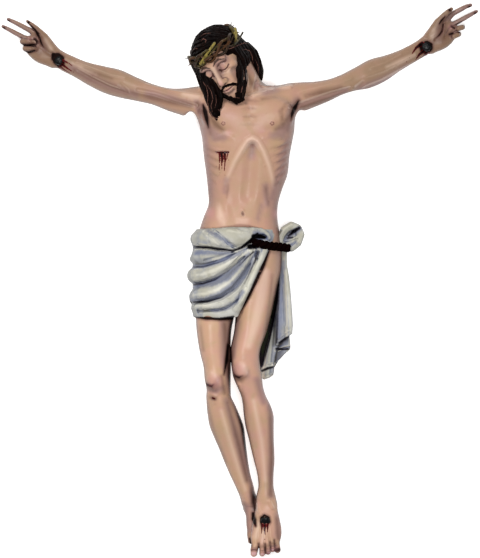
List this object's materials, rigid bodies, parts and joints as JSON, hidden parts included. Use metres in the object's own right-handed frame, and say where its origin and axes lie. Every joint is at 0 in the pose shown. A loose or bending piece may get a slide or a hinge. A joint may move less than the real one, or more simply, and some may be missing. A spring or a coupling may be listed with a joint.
{
  "type": "crucifix corpus figure",
  "caption": "Carved and painted wooden corpus with spread arms, leaning head, crown of thorns and knotted loincloth, lying on its planed back.",
  "frame": {"origin": "middle of the bounding box at its base, the plane that the planed backs of the seat, hands and rear heel lie in", "axes": "+Z out of the figure's front, +Y toward its head, +X toward its left hand"},
  "size_m": [0.7236, 0.8404, 0.1327],
  "materials": {
    "painted_flesh": "satin oil paint over ground on carved wood",
    "painted_hair": "glossy near-black brown paint on carved wood",
    "painted_cloth": "satin grey-white paint on carved wood",
    "painted_rope": "dark brown paint on carved wood",
    "thorn_twigs": "varnished olive-brown twigs",
    "black_iron": "glossy black"
  },
  "bodies": {
    "root": {"corpus": "painted_flesh", "crown_of_thorns": "thorn_twigs", "nail_right_wrist": "black_iron", "nail_left_wrist": "black_iron", "nail_feet": "black_iron"}
  },
  "joints": []
}
